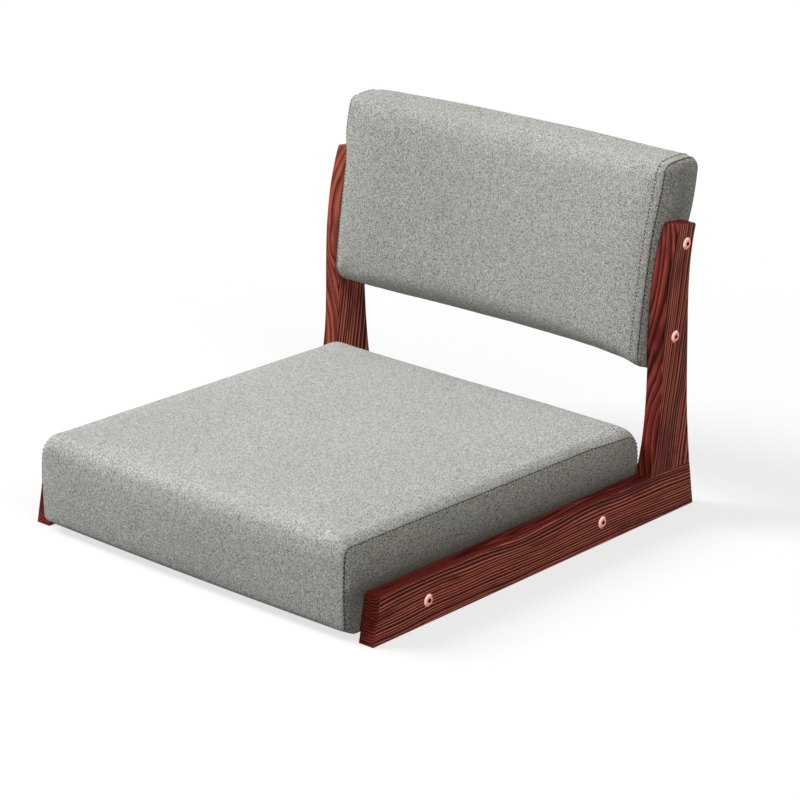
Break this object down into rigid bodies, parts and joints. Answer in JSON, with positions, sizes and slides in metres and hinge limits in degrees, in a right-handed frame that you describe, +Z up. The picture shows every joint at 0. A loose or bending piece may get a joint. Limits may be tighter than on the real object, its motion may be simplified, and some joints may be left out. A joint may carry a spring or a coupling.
{
  "type": "tatami chair",
  "caption": "Low legless floor chair: padded seat and curved padded back held between two dark wooden side frames by low-head bolts",
  "frame": {"origin": "on the floor, under the middle of the whole chair's box", "axes": "+X to the right of someone who faces the chair's front, across the two side frames; +Y from the seat's front edge to the back; +Z up from the floor. Left and right in the names are those of someone who faces the front."},
  "size_m": [0.4538, 0.524, 0.36],
  "materials": {
    "frame_wood": "softwood stained dark red-brown with near-black grain lines, satin lacquer",
    "dowel_wood": "bare beech",
    "batten_wood": "bare pine",
    "plywood": "bare plywood",
    "cloth": "heathered grey-green twill",
    "foam": "open-cell seat foam",
    "lining": "black non-woven lining",
    "plated_steel": "rose copper plating",
    "zinc_steel": "zinc plating"
  },
  "bodies": {
    "root": {"left_rail": "frame_wood", "right_rail": "frame_wood", "left_upright": "frame_wood", "right_upright": "frame_wood", "upright_dowels": "dowel_wood", "seat_frame_dowels": "dowel_wood", "seat_batten_left": "batten_wood", "seat_batten_right": "batten_wood", "seat_batten_front": "batten_wood", "seat_batten_rear": "batten_wood", "back_batten_left": "batten_wood", "back_batten_right": "batten_wood", "seat_board": "plywood", "back_board": "plywood", "seat_cover": "cloth", "seat_side_panel_left": "cloth", "seat_side_panel_right": "cloth", "back_cover": "cloth", "back_side_panel_left": "cloth", "back_side_panel_right": "cloth", "back_bottom_panel": "cloth", "seat_foam": "foam", "back_foam_front": "foam", "back_foam_rear": "foam", "seat_dust_cover": "lining", "seat_bolts": "plated_steel", "back_bolts": "plated_steel", "seat_insert_nuts": "zinc_steel", "back_insert_nuts": "zinc_steel", "seat_board_screws": "zinc_steel", "back_board_screws": "zinc_steel", "seat_staples": "zinc_steel"}
  },
  "joints": []
}
